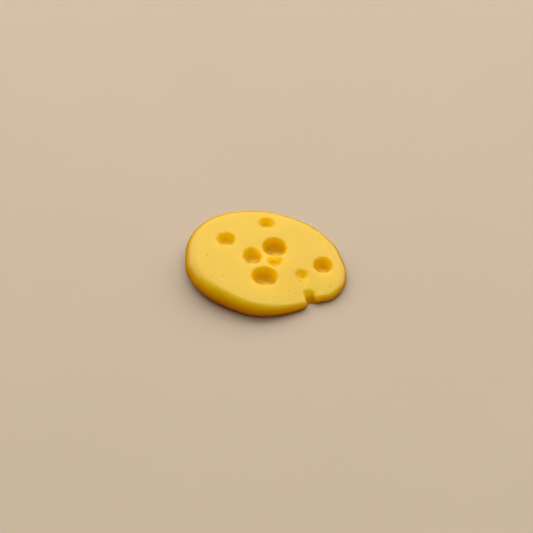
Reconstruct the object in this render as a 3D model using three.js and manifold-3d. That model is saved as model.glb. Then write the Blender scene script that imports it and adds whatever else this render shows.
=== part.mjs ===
// A miniature cheese slice, modelled by hand in one piece: an oval disc with a full round edge and a flat
// underside, eight round dents pressed into its top, and one round bite through its edge.
// Millimetres, +Z up. The origin is the middle of the base, and +X runs along the slice's longer side.
import * as THREE from 'three';
import { mergeVertices } from 'three/addons/utils/BufferGeometryUtils.js';
import Module from 'manifold-3d';

const wasm = await Module();
wasm.setup();

// The outline from above: a circle with a few low waves round it. Turns are in degrees from +X.
const MEAN_RADIUS = 8.43;
const OUTLINE_CENTRE = new THREE.Vector2(-0.18, 0.06);
const OUTLINE_WAVES = [
  { lobes: 2, height: 0.658, turn: 10.2 },
  { lobes: 3, height: 0.152, turn: 20.4 },
  { lobes: 4, height: 0.121, turn: 6.2 },
  { lobes: 5, height: 0.108, turn: 7.8 },
  { lobes: 6, height: 0.085, turn: -0.9 },
];

// Short changes of the outline: it is drawn in round the bite, and swells a little in two places
const OUTLINE_BUMPS = [
  { turn: -22, height: -0.22, width: 13 },
  { turn: -14, height: -0.35, width: 4.5 },
  { turn: 45, height: 0.12, width: 6 },
  { turn: -141, height: 0.1, width: 5 },
];

// The thickness, which falls off towards +X and towards the rim, and sinks where the bite was pressed. The
// round edge reaches in by a share of it.
const THICKNESS = 2.1;
const TAPER = 0.088;
const DOME = 0.08;
const SINK = { x: 7.8, y: -3.6, depth: 0.5, width: 4.4 };
const EDGE_SHARE = 0.55;

// The dents: where each is, its radius at the top, how oval it is, and its depth
const RIM_ROUNDING = 0.22;
const OVAL_TURN = 28;
const DENTS = [
  { name: 'left', x: -5.02, y: 0.13, radius: 1.01, oval: 0.93, depth: 0.9 },
  { name: 'far', x: -2.41, y: 4.89, radius: 0.86, oval: 0.87, depth: 0.72 },
  { name: 'great', x: 0.17, y: 1.95, radius: 1.34, oval: 1.01, depth: 1.38 },
  { name: 'middle', x: -1.23, y: -0.6, radius: 1.03, oval: 1.1, depth: 1.02, squeezed: true },
  { name: 'crescent', x: 1.16, y: 0.16, radius: 0.82, oval: 1.0, depth: 0.5, squeezed: true },
  { name: 'near', x: 1.35, y: -2.62, radius: 1.42, oval: 0.89, depth: 1.28 },
  { name: 'shallow', x: 4.75, y: -0.28, radius: 0.71, oval: 1.11, depth: 0.46 },
  { name: 'right', x: 6.0, y: 2.41, radius: 1.02, oval: 1.03, depth: 1.12 },
];

// The great dent was pressed last of its group: two neighbours are squeezed back from it, which leaves a wall
const SQUEEZE_WALL = 0.4;
const SQUEEZE_SOFTNESS = 0.2;

// The bite: a round hole that narrows to its mouth, opens through the edge between two round lips, a sharper
// and a softer one, and leans out as it goes down
const BITE = { x: 6.6, y: -2.13, radius: 0.56, opening: -43, lean: 1.22 };
const MOUTH = { narrowing: THREE.MathUtils.degToRad(14), neck: 0.05, sharpLip: 0.45, softLip: 0.7 };
const BITE_ROUNDING = 0.28;
const BITE_TOP = 0.03;
const BITE_REACH = 3;

// How finely the round shapes are cut into flat faces
const OUTLINE_STEPS = 128;
const EDGE_STEPS = 10;
const TOP_RINGS = 5;
const DENT_STEPS = 28;
const BOWL_STEPS = 7;
const ROUNDING_STEPS = 3;
const ROUNDING_END = THREE.MathUtils.degToRad(20);
const TOOL_HEADROOM = 0.5;

const CLAY = new THREE.MeshStandardMaterial({ color: 0xf2c443, roughness: 0.5, metalness: 0 });

function outlineRadius(angle) {
  let radius = MEAN_RADIUS;
  for (const { lobes, height, turn } of OUTLINE_WAVES) {
    radius += height * Math.cos(lobes * (angle - THREE.MathUtils.degToRad(turn)));
  }
  for (const { turn, height, width } of OUTLINE_BUMPS) {
    radius += height * Math.exp(-(((THREE.MathUtils.radToDeg(angle) - turn) / width) ** 2));
  }
  return radius;
}

function thicknessAt(x, y) {
  const fromMiddle = Math.hypot(x, y) / MEAN_RADIUS;
  const fromSink = Math.hypot(x - SINK.x, y - SINK.y) / SINK.width;
  const sunk = SINK.depth * Math.exp(-(fromSink ** 2));
  return THICKNESS - TAPER * x - DOME * fromMiddle ** 2 - sunk;
}

// Turns a lathe so that it stands along +Z
function standing(profile, steps) {
  return new THREE.LatheGeometry(profile, steps).rotateX(Math.PI / 2);
}

function moveVertices(geometry, place) {
  const position = geometry.getAttribute('position');
  const point = new THREE.Vector3();
  for (let i = 0; i < position.count; i += 1) {
    place(point.fromBufferAttribute(position, i));
    position.setXYZ(i, point.x, point.y, point.z);
  }
  return geometry;
}

function toSolid(geometry) {
  geometry.deleteAttribute('normal');
  geometry.deleteAttribute('uv');
  const merged = mergeVertices(geometry);
  return new wasm.Manifold(
    new wasm.Mesh({
      numProp: 3,
      vertProperties: new Float32Array(merged.getAttribute('position').array),
      triVerts: new Uint32Array(merged.index.array),
    }),
  );
}

function toGeometry(solid) {
  const mesh = solid.getMesh();
  const geometry = new THREE.BufferGeometry();
  geometry.setAttribute('position', new THREE.BufferAttribute(mesh.vertProperties, 3));
  geometry.setIndex(new THREE.BufferAttribute(mesh.triVerts, 1));
  return geometry;
}

// The disc is first a lathe whose radius runs from 0 in the middle over 1, where the edge starts to curve, to
// 2 at the outline, and whose height runs from 0 to 1. Each point then goes to its real place.
function discSolid() {
  const profile = [new THREE.Vector2(0, 0)];
  for (let i = 0; i <= EDGE_STEPS; i += 1) {
    const swing = Math.PI * (i / EDGE_STEPS - 0.5);
    profile.push(new THREE.Vector2(1 + Math.cos(swing), (1 + Math.sin(swing)) / 2));
  }
  for (let ring = TOP_RINGS - 1; ring >= 0; ring -= 1) {
    profile.push(new THREE.Vector2(ring / TOP_RINGS, 1));
  }
  const disc = moveVertices(standing(profile, OUTLINE_STEPS), (point) => {
    const share = Math.hypot(point.x, point.y);
    const angle = Math.atan2(point.y, point.x);
    const outward = new THREE.Vector2(Math.cos(angle), Math.sin(angle));
    const rimRadius = outlineRadius(angle);
    const rim = outward.clone().multiplyScalar(rimRadius).add(OUTLINE_CENTRE);
    const edge = EDGE_SHARE * thicknessAt(rim.x, rim.y);
    const radius = Math.min(share, 1) * (rimRadius - edge) + Math.max(share - 1, 0) * edge;
    const place = outward.multiplyScalar(radius).add(OUTLINE_CENTRE);
    point.set(place.x, place.y, point.z * thicknessAt(place.x, place.y));
  });
  return toSolid(disc);
}

// A ball's lower part with a rounded rim, which then flares out over the top. z is 0 at the top of the slice.
function dentProfile({ radius, depth }) {
  const ball = (radius * radius + depth * depth) / (2 * depth);
  const reach = ball + RIM_ROUNDING;
  const rimAngle = Math.acos((reach - depth) / reach);
  const profile = [];
  for (let i = 0; i < BOWL_STEPS; i += 1) {
    const swing = (rimAngle * i) / BOWL_STEPS;
    profile.push(new THREE.Vector2(ball * Math.sin(swing), ball * (1 - Math.cos(swing)) - depth));
  }
  const out = reach * Math.sin(rimAngle);
  for (let i = 0; i <= ROUNDING_STEPS; i += 1) {
    const turn = THREE.MathUtils.lerp(rimAngle, ROUNDING_END, i / ROUNDING_STEPS);
    const drop = RIM_ROUNDING * (1 - Math.cos(turn));
    profile.push(new THREE.Vector2(out - RIM_ROUNDING * Math.sin(turn), -drop));
  }
  const last = profile.at(-1);
  profile.push(new THREE.Vector2(last.x + TOOL_HEADROOM / Math.tan(ROUNDING_END), last.y + TOOL_HEADROOM));
  profile.push(new THREE.Vector2(0, last.y + TOOL_HEADROOM));
  return profile;
}

// Moves a point away from the great dent, softly, so that it ends outside that dent's wall
function squeeze(point) {
  const great = DENTS.find(({ name }) => name === 'great');
  const away = new THREE.Vector2(point.x - great.x, point.y - great.y);
  const distance = away.length();
  const wall = great.radius + SQUEEZE_WALL;
  const half = (distance - wall) / 2;
  const pushed = wall + half + Math.hypot(half, SQUEEZE_SOFTNESS);
  point.x = great.x + (away.x * pushed) / distance;
  point.y = great.y + (away.y * pushed) / distance;
}

// Raises a tool, whose z is 0 at the top of the slice, onto the top as it slopes there
function raiseToTop(point) {
  point.z += thicknessAt(point.x, point.y);
}

function dentTool(dent) {
  const tool = standing(dentProfile(dent), DENT_STEPS).scale(1, dent.oval, 1);
  tool.rotateZ(THREE.MathUtils.degToRad(OVAL_TURN)).translate(dent.x, dent.y, 0);
  if (dent.squeezed) {
    moveVertices(tool, squeeze);
  }
  return toSolid(moveVertices(tool, raiseToTop));
}

// The bite from above, opening along +X: a round inner end, whose sides narrow and then turn out at the lips
function biteOutline() {
  const { narrowing, neck, sharpLip, softLip } = MOUTH;
  const along = new THREE.Vector2(Math.cos(narrowing), -Math.sin(narrowing));
  const across = new THREE.Vector2(Math.sin(narrowing), Math.cos(narrowing));
  const lipCentre = (lip) => across.clone().multiplyScalar(BITE.radius + lip).addScaledVector(along, neck);
  const sharp = lipCentre(sharpLip);
  const soft = lipCentre(softLip);
  const quarter = Math.PI / 2;
  const outline = new THREE.Shape();
  outline.moveTo(BITE_REACH, sharp.y);
  outline.absarc(sharp.x, sharp.y, sharpLip, 0, -quarter - narrowing, true);
  outline.absarc(0, 0, BITE.radius, quarter - narrowing, 3 * quarter + narrowing, false);
  outline.absarc(soft.x, -soft.y, softLip, quarter + narrowing, 0, true);
  outline.lineTo(BITE_REACH, -soft.y);
  return outline;
}

function biteTool() {
  const tool = new THREE.ExtrudeGeometry(biteOutline(), {
    depth: THICKNESS + TOOL_HEADROOM,
    bevelThickness: BITE_ROUNDING,
    bevelSize: -BITE_ROUNDING,
    bevelOffset: BITE_ROUNDING,
    bevelSegments: ROUNDING_STEPS,
    curveSegments: DENT_STEPS / 2,
  });
  tool.computeBoundingBox();
  tool.translate(0, 0, BITE_TOP - tool.boundingBox.max.z);
  moveVertices(tool, (point) => {
    point.x -= BITE.lean * point.z;
  });
  tool.rotateZ(THREE.MathUtils.degToRad(BITE.opening)).translate(BITE.x, BITE.y, 0);
  return toSolid(moveVertices(tool, raiseToTop));
}

function sliceGeometry() {
  let solid = discSolid().subtract(biteTool());
  for (const dent of DENTS) {
    solid = solid.subtract(dentTool(dent));
  }
  return toGeometry(solid);
}

const group = new THREE.Group();
const slice = new THREE.Mesh(sliceGeometry(), CLAY);
slice.name = 'cheese_slice';
group.add(slice);

export default group;
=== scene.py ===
"""A miniature cheese slice of soft yellow clay: a thumb-rolled oval disc with ball-tool dents, one round bite
through its edge and a few pin pits, lying on a plain pale floor."""

import math

import bmesh
import bpy
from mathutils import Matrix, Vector
from mathutils.kdtree import KDTree


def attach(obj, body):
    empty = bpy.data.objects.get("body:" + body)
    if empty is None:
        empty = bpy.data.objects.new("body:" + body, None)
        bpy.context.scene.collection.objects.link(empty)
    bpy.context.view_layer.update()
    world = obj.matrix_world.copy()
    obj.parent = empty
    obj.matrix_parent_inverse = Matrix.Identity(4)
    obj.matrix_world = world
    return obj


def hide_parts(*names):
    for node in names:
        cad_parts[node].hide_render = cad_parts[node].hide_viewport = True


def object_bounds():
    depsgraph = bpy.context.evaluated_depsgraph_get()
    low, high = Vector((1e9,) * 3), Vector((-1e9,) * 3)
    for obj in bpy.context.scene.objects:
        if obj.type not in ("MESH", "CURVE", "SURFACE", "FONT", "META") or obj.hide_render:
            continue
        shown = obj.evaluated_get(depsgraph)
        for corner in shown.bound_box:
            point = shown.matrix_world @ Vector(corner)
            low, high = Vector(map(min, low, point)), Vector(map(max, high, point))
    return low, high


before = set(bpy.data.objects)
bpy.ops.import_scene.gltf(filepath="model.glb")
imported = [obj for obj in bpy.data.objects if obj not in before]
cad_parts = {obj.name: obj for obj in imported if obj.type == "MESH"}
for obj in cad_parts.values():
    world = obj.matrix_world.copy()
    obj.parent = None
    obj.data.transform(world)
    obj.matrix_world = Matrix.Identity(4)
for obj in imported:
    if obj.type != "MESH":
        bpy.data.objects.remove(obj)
cad_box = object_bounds()

# ---------------------------------------------------------------------------------------------------------
# Sizes, in millimetres and degrees. The trees work in millimetres, and the last one goes over to metres.
# ---------------------------------------------------------------------------------------------------------
MILLIMETRE = 0.001
SLICE_NODE = "cheese_slice"

# The outline from above: a circle with a few low waves round it, as (lobes, height, turn)
MEAN_RADIUS = 8.43
OUTLINE_CENTRE = (-0.18, 0.06)
OUTLINE_WAVES = [(2, 0.658, 10.2), (3, 0.152, 20.4), (4, 0.121, 6.2), (5, 0.108, 7.8), (6, 0.085, -0.9)]

# Short changes of the outline, as (turn, height, width): it is drawn in round the bite, and swells in two
# places
OUTLINE_BUMPS = [(-22, -0.22, 13), (-14, -0.35, 4.5), (45, 0.12, 6), (-141, 0.1, 5)]

# The thickness, which falls off towards +X and towards the rim, and sinks where the bite was pressed. The
# round edge reaches in by a share of it.
THICKNESS = 2.1
TAPER = 0.088
DOME = 0.08
SINK_PLACE = (7.8, -3.6)
SINK_DEPTH = 0.5
SINK_WIDTH = 4.4
EDGE_SHARE = 0.55
EDGE_FULLNESS = 2.0

# The dents, as (x, y, radius at the top, how oval, depth, how strong the painted shade on their walls
# is), with the turn of their ovals, and the rounding of their rims
RIM_ROUNDING = 0.38
OVAL_TURN = 28
DENTS = {
    "left": (-5.02, 0.13, 1.01, 0.93, 0.9, 0.5),
    "far": (-2.41, 4.89, 0.86, 0.87, 0.72, 0.6),
    "great": (0.17, 1.95, 1.34, 1.01, 1.38, 0.65),
    "middle": (-1.23, -0.6, 1.03, 1.1, 1.02, 0.7),
    "crescent": (1.16, 0.16, 0.82, 1.0, 0.5, 2.6),
    "near": (1.35, -2.62, 1.42, 0.89, 1.28, 0.7),
    "shallow": (4.75, -0.28, 0.71, 1.11, 0.46, 0.9),
    "right": (6.0, 2.41, 1.02, 1.03, 1.12, 0.65),
}

# The great dent was pressed last of its group: two neighbours are squeezed back from it, which leaves a wall
SQUEEZED = ("middle", "crescent")
SQUEEZE_WALL = 0.4
SQUEEZE_SOFTNESS = 0.2

# The bite: a round hole that narrows as it opens through the edge between two round lips, a softer and a
# sharper one, and leans out as it goes down
BITE_PLACE = (6.6, -2.13)
BITE_RADIUS = 0.56
BITE_OPENING = -43
BITE_LEAN = 1.22
BITE_NARROWING = 0.25
BITE_REACH = 1.5
BITE_ROUNDING = 0.38
SOFT_LIP_ROUNDING = 0.95
SHARP_LIP_ROUNDING = 0.55
LIP_START = 0.1
LIP_END = 0.9
LIP_CHANGE = 0.3

# The hand-rolled surface is a little uneven
UNEVEN_HEIGHT = 0.05
UNEVEN_SIZE = 3.5
UNEVEN_DETAIL = 1.0

# Pin pits: those that stand out, as (x, y, radius), and a thin scatter of fainter ones where the slice faces
# up. The widest is as deep as PIT_DEPTH, and the others by their share of its radius.
WIDEST_PIT = 0.13
PITS = [
    (-5.6, -3.22, WIDEST_PIT), (-2.6, -5.06, 0.12), (7.0, -0.83, 0.1), (8.03, 0.08, 0.12),
    (-3.55, -5.74, 0.09), (-0.95, -4.73, 0.09), (5.94, 0.44, 0.09), (4.55, -2.98, 0.1),
    (3.57, -4.81, 0.09), (1.52, -5.81, 0.1), (-7.65, -2.69, 0.09),
]
PIT_DEPTH = 0.07
PIT_REACH = 0.26
PIT_CUTS = 2
FAINT_PIT_GAP = 1.1
FAINT_PIT_SEED = 11
FAINT_PIT_DENSITY = 1.0
FAINT_PIT_SHARE = 0.35
FAINT_PIT_RADII = (0.05, 0.085)
FACES_UP = 0.9

# Where shade is painted into the colour: on the walls of the dents and of the bite, over these depths and
# where they face away from up, and down the edge and its foot, over these shares of the thickness
PRESSED_REACH = 0.2
DENT_SHADE_DEPTHS = (0.15, 1.05)
BITE_SHADE_DEPTHS = (0.1, 0.6)
WALL_SLOPE = (1.0, 0.9)
EDGE_SHADE_SHARES = (-0.1, 0.35)
FOOT_SHADE_SHARES = (0.35, 1.0)
EDGE_SOFTNESS = 0.3

# How finely the slice is meshed
CELL = 0.09
FIELD_STEP = 0.01
SETTLING_ROUNDS = 2
MARGIN = 0.4


# ---------------------------------------------------------------------------------------------------------
# Node trees
# ---------------------------------------------------------------------------------------------------------
class Wire:
    """What a socket gives. A sum written on it adds Math nodes to its tree."""

    def __init__(self, board, socket):
        self.board = board
        self.socket = socket

    def __add__(self, other):
        return self.board.math("ADD", self, other)

    def __sub__(self, other):
        return self.board.math("SUBTRACT", self, other)

    def __rsub__(self, other):
        return self.board.math("SUBTRACT", other, self)

    def __mul__(self, other):
        return self.board.math("MULTIPLY", self, other)

    def __truediv__(self, other):
        return self.board.math("DIVIDE", self, other)

    def __rtruediv__(self, other):
        return self.board.math("DIVIDE", other, self)

    def __pow__(self, other):
        return self.board.math("POWER", self, other)

    __radd__ = __add__
    __rmul__ = __mul__


class Board:
    """A node tree, and the one way in which nodes are added to it."""

    def __init__(self, tree):
        self.tree = tree

    def add(self, kind, settings=None, sockets=None, output=None):
        """Adds a node, sets and wires it, and gives the wire of one output, its first unless it is named."""
        node = self.tree.nodes.new(kind)
        for name, value in (settings or {}).items():
            setattr(node, name, value)
        for name, value in (sockets or {}).items():
            self.plug(pick(node.inputs, name), value)
        return Wire(self, pick(node.outputs, output))

    def plug(self, socket, value):
        if isinstance(value, Wire):
            self.tree.links.new(value.socket, socket)
        else:
            socket.default_value = value

    def math(self, operation, *values):
        return self.add("ShaderNodeMath", {"operation": operation}, dict(enumerate(values)))

    def vector(self, operation, *values):
        return self.add("ShaderNodeVectorMath", {"operation": operation}, dict(enumerate(values)))

    def combine(self, x=0.0, y=0.0, z=0.0):
        return self.add("ShaderNodeCombineXYZ", None, {"X": x, "Y": y, "Z": z})

    def separate(self, vector):
        node = self.add("ShaderNodeSeparateXYZ", None, {"Vector": vector}).socket.node
        return [Wire(self, output) for output in node.outputs]

    def length(self, *parts):
        return self.vector("LENGTH", self.combine(*parts))

    def smooth_share(self, value, start, stop):
        """How far a value has come from start, 0, to stop, 1, with soft ends."""
        return self.add("ShaderNodeMapRange", {"interpolation_type": "SMOOTHSTEP"},
                        {"Value": value, "From Min": start, "From Max": stop}, "Result")


def pick(sockets, key):
    """The socket at a place, the first in use with a name, or the first in use."""
    if isinstance(key, int):
        return sockets[key]
    return next(s for s in sockets if s.enabled and key in (None, s.name))


def geometry_tree(name, inputs, output_kind="NodeSocketGeometry"):
    """A Geometry Nodes tree with named inputs, as (name, kind, value), and a single output."""
    tree = bpy.data.node_groups.new(name, "GeometryNodeTree")
    for label, kind, value in inputs:
        socket = tree.interface.new_socket(label, in_out="INPUT", socket_type=kind)
        if value is not None:
            socket.default_value = value
    tree.interface.new_socket("Result", in_out="OUTPUT", socket_type=output_kind)
    board = Board(tree)
    entry = tree.nodes.new("NodeGroupInput")
    return board, {s.name: Wire(board, s) for s in entry.outputs if s.name}


def end_tree(board, wire):
    board.plug(board.tree.nodes.new("NodeGroupOutput").inputs["Result"], wire)


def grown(obj, tree, name, values=None):
    """The plain mesh object that a tree makes of obj, with its inputs set by their identifiers."""
    modifier = obj.modifiers.new(tree.name, "NODES")
    modifier.node_group = tree
    for item in tree.interface.items_tree:
        if item.in_out == "INPUT" and item.name in (values or {}):
            modifier[item.identifier] = values[item.name]
    evaluated = obj.evaluated_get(bpy.context.evaluated_depsgraph_get())
    mesh = bpy.data.meshes.new_from_object(evaluated)
    mesh.name = name
    obj.modifiers.remove(modifier)
    return mesh


def new_object(name, mesh):
    obj = bpy.data.objects.new(name, mesh)
    bpy.context.scene.collection.objects.link(obj)
    return obj


# ---------------------------------------------------------------------------------------------------------
# The form of the slice, as a field that is below zero inside the clay
# ---------------------------------------------------------------------------------------------------------
SIZE_INPUTS = [
    ("Thickness", "NodeSocketFloat", THICKNESS),
    ("Taper", "NodeSocketFloat", TAPER),
    ("Dome", "NodeSocketFloat", DOME),
    ("Edge share", "NodeSocketFloat", EDGE_SHARE),
    ("Rim rounding", "NodeSocketFloat", RIM_ROUNDING),
    ("Unevenness", "NodeSocketFloat", UNEVEN_HEIGHT),
]


def local_thickness(board, x, y, sizes):
    from_middle = (x * x + y * y) / MEAN_RADIUS**2
    from_sink = board.length(x - SINK_PLACE[0], y - SINK_PLACE[1]) / SINK_WIDTH
    sunk = SINK_DEPTH * board.math("EXPONENT", -1 * from_sink * from_sink)
    return sizes["Thickness"] - sizes["Taper"] * x - sizes["Dome"] * from_middle - sunk


def outline_radius(board, angle):
    radius = MEAN_RADIUS
    for lobes, height, turn in OUTLINE_WAVES:
        radius = radius + height * board.math("COSINE", lobes * (angle - math.radians(turn)))
    for turn, height, width in OUTLINE_BUMPS:
        from_bump = (angle - math.radians(turn)) / math.radians(width)
        radius = radius + height * board.math("EXPONENT", -1 * from_bump * from_bump)
    return radius


def past_outline(board, x, y):
    """How far a point lies outside the outline."""
    out_x, out_y = x - OUTLINE_CENTRE[0], y - OUTLINE_CENTRE[1]
    angle = board.math("ARCTAN2", out_y, out_x)
    return board.length(out_x, out_y) - outline_radius(board, angle)


def disc_field(board, x, y, z, thickness, share):
    """The disc with its full round edge."""
    inset = share * thickness
    half = thickness / 2
    outward = board.math("MAXIMUM", past_outline(board, x, y) + inset, 0) / inset
    upward = board.math("ABSOLUTE", z - half) / half
    both = outward**EDGE_FULLNESS + upward**EDGE_FULLNESS
    return (both ** (1 / EDGE_FULLNESS) - 1) * half


def unsqueezed(board, x, y):
    """Where a point lay before the great dent pushed the clay away from itself."""
    great_x, great_y, great_radius = DENTS["great"][:3]
    away_x, away_y = x - great_x, y - great_y
    distance = board.length(away_x, away_y)
    past_wall = board.math("MAXIMUM", distance - (great_radius + SQUEEZE_WALL), FIELD_STEP)
    share = board.math("MAXIMUM", (distance - SQUEEZE_SOFTNESS**2 / past_wall) / distance, 0)
    return great_x + away_x * share, great_y + away_y * share


def dent_field(board, name, x, y, above_top):
    """A ball that sinks into the top, below zero inside the ball."""
    dent_x, dent_y, radius, oval, depth, _ = DENTS[name]
    if name in SQUEEZED:
        x, y = unsqueezed(board, x, y)
    turn = math.radians(OVAL_TURN)
    along_x, along_y = x - dent_x, y - dent_y
    across = along_x * math.cos(turn) + along_y * math.sin(turn)
    lengthways = (along_y * math.cos(turn) - along_x * math.sin(turn)) / oval
    ball = (radius**2 + depth**2) / (2 * depth)
    return board.length(across, lengthways, above_top - (ball - depth)) - ball


def bite_field(board, x, y, above_top):
    """A leaning round post through the edge, drawn out and narrowed on its open side, below zero inside the
    post. It also gives how softly the post's rim is rounded, which is most at the lips."""
    turn = math.radians(BITE_OPENING)
    from_x, from_y = x - BITE_PLACE[0], y - BITE_PLACE[1]
    outward = from_x * math.cos(turn) + from_y * math.sin(turn)
    across = from_y * math.cos(turn) - from_x * math.sin(turn)
    leaning = outward + BITE_LEAN * above_top
    drawn_out = board.math("MINIMUM", board.math("MAXIMUM", leaning, 0), BITE_REACH)
    half_width = BITE_RADIUS - BITE_NARROWING * drawn_out
    at_sharp_lip = board.smooth_share(across, -LIP_CHANGE, LIP_CHANGE)
    lip_rounding = SOFT_LIP_ROUNDING + (SHARP_LIP_ROUNDING - SOFT_LIP_ROUNDING) * at_sharp_lip
    at_lip = board.smooth_share(outward, LIP_START, LIP_END)
    rounding = BITE_ROUNDING + (lip_rounding - BITE_ROUNDING) * at_lip
    return board.length(board.math("MINIMUM", leaning, 0), across) - half_width, rounding


def make_slice_field():
    """The group that gives the field's value at a point."""
    inputs = [("Point", "NodeSocketVector", None), *SIZE_INPUTS]
    board, given = geometry_tree("slice field", inputs, "NodeSocketFloat")
    x, y, z = board.separate(given["Point"])
    thickness = local_thickness(board, x, y, given)
    field = disc_field(board, x, y, z, thickness, given["Edge share"])
    for name in DENTS:
        dent = dent_field(board, name, x, y, z - thickness)
        field = board.math("SMOOTH_MAX", field, -1 * dent, given["Rim rounding"])
    bite, rounding = bite_field(board, x, y, z - thickness)
    field = board.math("SMOOTH_MAX", field, -1 * bite, rounding)
    noise = board.add("ShaderNodeTexNoise", None, {"Vector": given["Point"], "Scale": 1 / UNEVEN_SIZE,
                                                   "Detail": UNEVEN_DETAIL}, "Fac")
    above_base = board.smooth_share(z, 0.0, THICKNESS / 2)
    end_tree(board, field + (noise - 0.5) * given["Unevenness"] * above_base)
    return board.tree


def make_pressed():
    """The group that says how deep a point lies in a dent or in the bite, from 0 to 1, where their walls face
    away from up: the mask of the painted shade in these hollows.
    """
    inputs = [("Point", "NodeSocketVector", None), *SIZE_INPUTS]
    board, given = geometry_tree("pressed", inputs, "NodeSocketFloat")
    x, y, z = board.separate(given["Point"])
    thickness = local_thickness(board, x, y, given)
    # Painted shade: the walls of the dents and the bite darken with depth below the top
    in_dent = board.smooth_share(thickness - z, *DENT_SHADE_DEPTHS)
    in_bite = board.smooth_share(thickness - z, *BITE_SHADE_DEPTHS)
    hollows = [(dent_field(board, name, x, y, z - thickness), in_dent * DENTS[name][-1]) for name in DENTS]
    hollows.append((bite_field(board, x, y, z - thickness)[0], in_bite))
    pressed = 0.0
    for hollow, amount in hollows:
        near = board.smooth_share(board.math("ABSOLUTE", hollow), PRESSED_REACH, 0.0)
        pressed = board.math("MAXIMUM", near * amount, pressed)
    facing = board.separate(board.add("GeometryNodeInputNormal", None, None, "Normal"))[2]
    end_tree(board, pressed * board.smooth_share(facing, *WALL_SLOPE))
    return board.tree


def make_edge(name, start, stop):
    """The group that says how far down the round edge a point lies, from 0 at one share of the thickness to 1
    at another: the mask of the painted shade down the edge and at its foot."""
    inputs = [("Point", "NodeSocketVector", None), *SIZE_INPUTS]
    board, given = geometry_tree(name, inputs, "NodeSocketFloat")
    x, y, z = board.separate(given["Point"])
    thickness = local_thickness(board, x, y, given)
    past_inset = past_outline(board, x, y) + given["Edge share"] * thickness
    on_edge = board.smooth_share(past_inset, -EDGE_SOFTNESS, EDGE_SOFTNESS)
    end_tree(board, on_edge * board.smooth_share((thickness - z) / thickness, start, stop))
    return board.tree


def sample_group(board, group, point, sizes):
    """What a group of the slice's field, or of where its colour deepens, gives at a point."""
    node = board.tree.nodes.new("GeometryNodeGroup")
    node.node_tree = group
    board.plug(node.inputs["Point"], point)
    for name, wire in sizes.items():
        board.plug(node.inputs[name], wire)
    return Wire(board, node.outputs["Result"])


def sizes_of(given):
    return {name: given[name] for name, _, _ in SIZE_INPUTS}


def make_form_tree(field_tree):
    """Fills the field's inside with a volume and skins it."""
    board, given = geometry_tree("slice form", [*SIZE_INPUTS, ("Cell", "NodeSocketFloat", CELL)])
    low = [corner / MILLIMETRE - MARGIN for corner in cad_box[0]]
    high = [corner / MILLIMETRE + MARGIN for corner in cad_box[1]]
    point = board.add("GeometryNodeInputPosition")
    inside = -1 * sample_group(board, field_tree, point, sizes_of(given))
    sockets = {"Density": inside, "Background": -1.0, "Min": low, "Max": high}
    for axis, start, stop in zip("XYZ", low, high):
        cells = board.math("CEIL", (stop - start) / given["Cell"])
        sockets["Resolution " + axis] = cells
    volume = board.add("GeometryNodeVolumeCube", None, sockets)
    end_tree(board, board.add("GeometryNodeVolumeToMesh", None, {"Volume": volume, "Threshold": 0.0}))
    return board.tree


def settle(board, geometry, field_tree, sizes):
    """Moves every vertex straight onto the field's zero, down its steepest way."""
    point = board.add("GeometryNodeInputPosition")
    here = sample_group(board, field_tree, point, sizes)
    slopes = []
    for axis in range(3):
        step = tuple(FIELD_STEP if i == axis else 0.0 for i in range(3))
        there = sample_group(board, field_tree, board.vector("ADD", point, step), sizes)
        slopes.append((there - here) / FIELD_STEP)
    slope = board.combine(*slopes)
    steepness = board.vector("DOT_PRODUCT", slope, slope)
    amount = board.add("ShaderNodeVectorMath", {"operation": "SCALE"},
                       {"Vector": slope, "Scale": -1 * here / steepness})
    return board.add("GeometryNodeSetPosition", None, {"Geometry": geometry, "Offset": amount})


def make_pit_places_tree():
    """Points for the pits: the named ones, and a seeded scatter over the top of the slice."""
    inputs = [
        ("Geometry", "NodeSocketGeometry", None),
        ("Named pits", "NodeSocketObject", None),
        ("Gap", "NodeSocketFloat", FAINT_PIT_GAP),
        ("Seed", "NodeSocketInt", FAINT_PIT_SEED),
    ]
    board, given = geometry_tree("pit places", inputs)
    facing = board.separate(board.add("GeometryNodeInputNormal", None, None, "Normal"))[2]
    on_top = board.add("FunctionNodeCompare", {"operation": "GREATER_THAN"}, {"A": facing, "B": FACES_UP})
    scatter = board.add(
        "GeometryNodeDistributePointsOnFaces",
        {"distribute_method": "POISSON"},
        {"Mesh": given["Geometry"], "Selection": on_top, "Distance Min": given["Gap"],
         "Density Max": FAINT_PIT_DENSITY, "Density Factor": FAINT_PIT_SHARE, "Seed": given["Seed"]},
    )
    least, most = FAINT_PIT_RADII
    size = board.add("FunctionNodeRandomValue", {"data_type": "FLOAT"},
                     {"Min": least, "Max": most, "Seed": given["Seed"]}, "Value")
    scatter = board.add("GeometryNodeStoreNamedAttribute", {"data_type": "FLOAT"},
                        {"Geometry": scatter, "Name": "pit_radius", "Value": size})
    scatter = board.add("GeometryNodePointsToVertices", None, {"Points": scatter})
    named = board.add("GeometryNodeObjectInfo", None, {"Object": given["Named pits"]}, "Geometry")
    sockets = {"Target Geometry": given["Geometry"], "Ray Direction": (0.0, 0.0, -1.0)}
    below = board.add("GeometryNodeRaycast", None, sockets, "Hit Position")
    named = board.add("GeometryNodeSetPosition", None, {"Geometry": named, "Position": below})
    joined = board.add("GeometryNodeJoinGeometry")
    for part in (scatter, named):
        board.tree.links.new(part.socket, joined.socket.node.inputs["Geometry"])
    end_tree(board, joined)
    return board.tree


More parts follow.
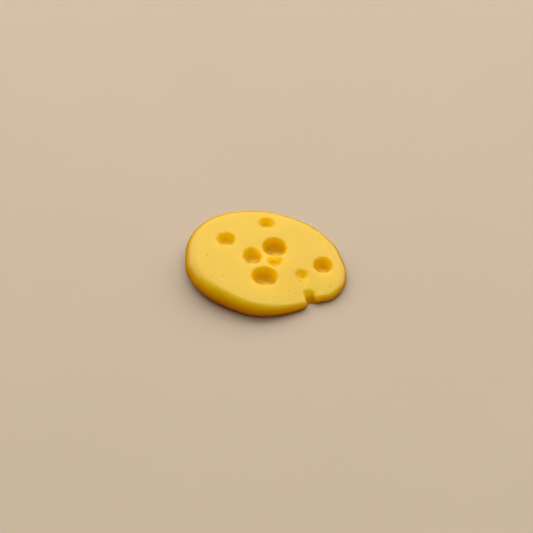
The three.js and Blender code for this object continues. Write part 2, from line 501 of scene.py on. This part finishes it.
def make_finish_tree(field_tree):
    """Settles the mesh on the field, marks where shade is painted into its colour, pricks the pits, and goes
    over to metres."""
    inputs = [
        ("Geometry", "NodeSocketGeometry", None),
        ("Pits", "NodeSocketObject", None),
        ("Pit depth", "NodeSocketFloat", PIT_DEPTH),
        ("Finish", "NodeSocketMaterial", None),
        *SIZE_INPUTS,
    ]
    board, given = geometry_tree("slice finish", inputs)
    geometry = given["Geometry"]
    for _ in range(SETTLING_ROUNDS):
        geometry = settle(board, geometry, field_tree, sizes_of(given))
    place = board.add("GeometryNodeInputPosition")
    # Masks of the painted shade: in the dents and the bite, down the edge, and at its foot
    for group in (make_pressed(), make_edge("edge", *EDGE_SHADE_SHARES), make_edge("foot", *FOOT_SHADE_SHARES)):
        share = sample_group(board, group, place, sizes_of(given))
        geometry = board.add("GeometryNodeStoreNamedAttribute", {"data_type": "FLOAT"},
                             {"Geometry": geometry, "Name": group.name, "Value": share})
    pits = board.add("GeometryNodeObjectInfo", None, {"Object": given["Pits"]}, "Geometry")
    distance = board.add("GeometryNodeProximity", {"target_element": "POINTS"}, {"Geometry": pits},
                         "Distance")
    nearest = board.add("GeometryNodeSampleNearest", None, {"Geometry": pits})
    named_radius = board.add("GeometryNodeInputNamedAttribute", {"data_type": "FLOAT"},
                             {"Name": "pit_radius"}, "Attribute")
    radius = board.add("GeometryNodeSampleIndex", {"data_type": "FLOAT"},
                       {"Geometry": pits, "Value": named_radius, "Index": nearest}, "Value")
    fill = board.math("MAXIMUM", 1 - (distance / radius) ** 2, 0)
    hollow = fill * fill
    normal = board.add("GeometryNodeInputNormal", None, None, "Normal")
    depth = -1 * hollow * given["Pit depth"] * radius / WIDEST_PIT
    offset = board.add("ShaderNodeVectorMath", {"operation": "SCALE"}, {"Vector": normal, "Scale": depth})
    # The pit's hollow is also the mask of the painted shade in the pits
    geometry = board.add("GeometryNodeStoreNamedAttribute", {"data_type": "FLOAT"},
                         {"Geometry": geometry, "Name": "pit", "Value": hollow})
    geometry = board.add("GeometryNodeSetPosition", None, {"Geometry": geometry, "Offset": offset})
    geometry = board.add("GeometryNodeTransform", None, {"Geometry": geometry, "Scale": (MILLIMETRE,) * 3})
    geometry = board.add("GeometryNodeSetShadeSmooth", None, {"Geometry": geometry})
    geometry = board.add("GeometryNodeRealizeInstances", None, {"Geometry": geometry})
    end_tree(board, board.add("GeometryNodeSetMaterial", None,
                              {"Geometry": geometry, "Material": given["Finish"]}))
    return board.tree


def named_pits():
    """The pits that stand out, as loose vertices above the slice that carry their radius."""
    mesh = bpy.data.meshes.new("named_pits")
    mesh.from_pydata([(x, y, 2 * THICKNESS) for x, y, _ in PITS], [], [])
    radii = mesh.attributes.new("pit_radius", "FLOAT", "POINT")
    radii.data.foreach_set("value", [radius for _, _, radius in PITS])
    return new_object("named_pits", mesh)


def refine_near(mesh, places):
    """Cuts the faces round each pit finer, so that a pit has a round mouth."""
    tree = KDTree(len(places))
    for index, place in enumerate(places):
        tree.insert(place, index)
    tree.balance()
    form = bmesh.new()
    form.from_mesh(mesh)
    close = [face for face in form.faces if tree.find(face.calc_center_median())[2] < PIT_REACH]
    edges = {edge for face in close for edge in face.edges}
    bmesh.ops.subdivide_edges(form, edges=list(edges), cuts=PIT_CUTS, use_grid_fill=True)
    form.to_mesh(mesh)
    form.free()


def make_slice(finish):
    field_tree = make_slice_field()
    blank = new_object("blank", bpy.data.meshes.new("blank"))
    mesh = grown(blank, make_form_tree(field_tree), "slice_form")
    form = new_object("slice_form", mesh)
    marks = named_pits()
    pit_mesh = grown(form, make_pit_places_tree(), "pit_places", {"Named pits": marks})
    places = new_object("pit_places", pit_mesh)
    refine_near(mesh, [vertex.co for vertex in places.data.vertices])
    values = {"Pits": places, "Finish": finish}
    piece = new_object("yellow_slice", grown(form, make_finish_tree(field_tree), "yellow_slice", values))
    for used in (blank, form, marks, places):
        bpy.data.objects.remove(used)
    return piece


# ---------------------------------------------------------------------------------------------------------
# Finishes. A noise is given as (scale, detail).
# ---------------------------------------------------------------------------------------------------------
BROAD_GRAIN = (260.0, 3.0)
FINE_GRAIN = (5200.0, 2.0)
FINE_IN_COLOUR = 0.3
FINE_IN_BUMP = 0.8
CLAY_COLOURS = [(0.85, 0.545, 0.001, 1), (0.89, 0.585, 0.002, 1)]

# The colours of the painted shade, by the attribute that says where it goes
PAINTED_SHADE_COLOURS = {
    "edge": (0.87, 0.49, 0.001, 1),
    "foot": (0.66, 0.29, 0.001, 1),
    "pressed": (0.62, 0.32, 0.001, 1),
    "pit": (0.62, 0.27, 0.001, 1),
}
CLAY_ROUGHNESS = 0.27
ROUGHNESS_CHANGE = 0.06
BUMP_STRENGTH = 0.12
BUMP_HEIGHT = 0.00004

# How far light goes on inside the clay: its red, green and blue, as shares of one length
SCATTERING = (1.2, 0.8, 0.03)
SCATTERING_LENGTH = 0.0026

FLOOR_GRAIN = (40.0, 4.0)
FLOOR_COLOURS = [(0.60, 0.50, 0.38, 1), (0.64, 0.53, 0.41, 1)]
FLOOR_ROUGHNESS = 0.8


def new_material(name):
    material = bpy.data.materials.new(name)
    material.use_nodes = True
    board = Board(material.node_tree)
    return material, board, material.node_tree.nodes["Principled BSDF"]


def grain(board, place, scale, detail):
    return board.add("ShaderNodeTexNoise", None, {"Vector": place, "Scale": scale, "Detail": detail}, "Fac")


def mixed_colour(board, share, first, second):
    return board.add("ShaderNodeMix", {"data_type": "RGBA"}, {"Factor": share, "A": first, "B": second})


def make_clay():
    """Soft matt modelling clay: warm yellow, a little waxy, with fine grain, and shade painted into its
    colour down the edge and in the dents, the bite and the pits.
    """
    material, board, shader = new_material("yellow_clay")
    place = board.add("ShaderNodeTexCoord", None, None, "Object")
    broad = grain(board, place, *BROAD_GRAIN)
    fine = grain(board, place, *FINE_GRAIN)
    mottle = broad * (1 - FINE_IN_COLOUR) + fine * FINE_IN_COLOUR
    colour = mixed_colour(board, mottle, *CLAY_COLOURS)
    # Painted shade: the clay colour goes over to darker, warmer ones by each mask
    for name, painted_shade in PAINTED_SHADE_COLOURS.items():
        share = board.add("ShaderNodeAttribute", {"attribute_name": name}, None, "Fac")
        colour = mixed_colour(board, share, colour, painted_shade)
    board.plug(shader.inputs["Base Color"], colour)
    board.plug(shader.inputs["Roughness"], CLAY_ROUGHNESS + broad * ROUGHNESS_CHANGE)
    height = broad * (1 - FINE_IN_BUMP) + fine * FINE_IN_BUMP
    bump = board.add("ShaderNodeBump", None,
                     {"Strength": BUMP_STRENGTH, "Distance": BUMP_HEIGHT, "Height": height})
    board.plug(shader.inputs["Normal"], bump)
    shader.subsurface_method = "BURLEY"
    shader.inputs["Subsurface Weight"].default_value = 1.0
    shader.inputs["Subsurface Radius"].default_value = SCATTERING
    shader.inputs["Subsurface Scale"].default_value = SCATTERING_LENGTH
    return material


def make_floor_finish():
    material, board, shader = new_material("pale_floor")
    place = board.add("ShaderNodeTexCoord", None, None, "Object")
    colour = mixed_colour(board, grain(board, place, *FLOOR_GRAIN), *FLOOR_COLOURS)
    board.plug(shader.inputs["Base Color"], colour)
    shader.inputs["Roughness"].default_value = FLOOR_ROUGHNESS
    return material


# ---------------------------------------------------------------------------------------------------------
# The set
# ---------------------------------------------------------------------------------------------------------
VIEW_TURN = 28
VIEW_ELEVATION = 43
VIEW_DISTANCE = 0.191
VIEW_TARGET = Vector((-0.000133, 0.000618, 0.0))
LENS = 114.8
NEAREST_SEEN = 0.01
FLOOR_REACH = 0.6

# The lights, as (turn, elevation, distance, size, power, colour, whether they show in reflections)
LIGHTS = {
    "window": (VIEW_TURN + 180, 43, 0.5, (1.7, 0.5), 5.65, (1.0, 0.98, 0.95), True),
    "ceiling": (VIEW_TURN, 78, 0.5, (0.6, 0.6), 1.1, (1.0, 0.97, 0.92), False),
}

# The light of the room, and how far below the level and over which height its warm part lies
ROOM_COLOUR = (0.06, 0.045, 0.02, 1)
GLOW_COLOUR = (0.47, 0.08, 0.005, 1)
GLOW_DROP = 0.08
GLOW_REACH = 0.4


def towards(turn, elevation):
    """The way from the middle out to something at that turn from -Y and that height above the floor."""
    turn, elevation = math.radians(turn), math.radians(elevation)
    return Vector((math.sin(turn) * math.cos(elevation), -math.cos(turn) * math.cos(elevation),
                   math.sin(elevation)))


def place_facing(obj, direction, distance, target):
    obj.location = target + direction * distance
    obj.rotation_euler = (-direction).to_track_quat("-Z", "Y").to_euler()


def make_camera():
    camera = bpy.data.cameras.new("camera")
    camera.lens = LENS
    camera.clip_start = NEAREST_SEEN
    obj = bpy.data.objects.new("camera", camera)
    bpy.context.scene.collection.objects.link(obj)
    place_facing(obj, towards(VIEW_TURN, VIEW_ELEVATION), VIEW_DISTANCE, VIEW_TARGET)
    bpy.context.scene.camera = obj


def make_light(name, turn, elevation, distance, size, power, colour, in_reflections):
    light = bpy.data.lights.new(name, "AREA")
    light.shape = "RECTANGLE"
    light.size, light.size_y = size
    light.energy = power
    light.color = colour
    obj = bpy.data.objects.new(name, light)
    bpy.context.scene.collection.objects.link(obj)
    place_facing(obj, towards(turn, elevation), distance, VIEW_TARGET)
    obj.visible_glossy = in_reflections


def make_room_light():
    """A weak light from all round: pale from above, and warm from low down."""
    world = bpy.data.worlds.new("room")
    world.use_nodes = True
    board = Board(world.node_tree)
    height = board.separate(board.add("ShaderNodeTexCoord", None, None, "Generated"))[2]
    low = board.smooth_share(board.math("ABSOLUTE", height + GLOW_DROP), GLOW_REACH, 0.0)
    background = world.node_tree.nodes["Background"]
    board.plug(background.inputs["Color"], mixed_colour(board, low, ROOM_COLOUR, GLOW_COLOUR))
    background.inputs["Strength"].default_value = 1.0
    bpy.context.scene.world = world


def make_set():
    mesh = bpy.data.meshes.new("floor")
    corners = [(x * FLOOR_REACH, y * FLOOR_REACH, 0.0) for x, y in ((-1, -1), (1, -1), (1, 1), (-1, 1))]
    mesh.from_pydata(corners, [], [(0, 1, 2, 3)])
    mesh.materials.append(make_floor_finish())
    floor = new_object("floor", mesh)
    floor.visible_diffuse = False
    floor.visible_glossy = False
    for name, light in LIGHTS.items():
        make_light(name, *light)
    make_room_light()
    bpy.context.scene.view_settings.view_transform = "Standard"


make_camera()
make_set()
slice_piece = make_slice(make_clay())
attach(slice_piece, "root")
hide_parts(SLICE_NODE)
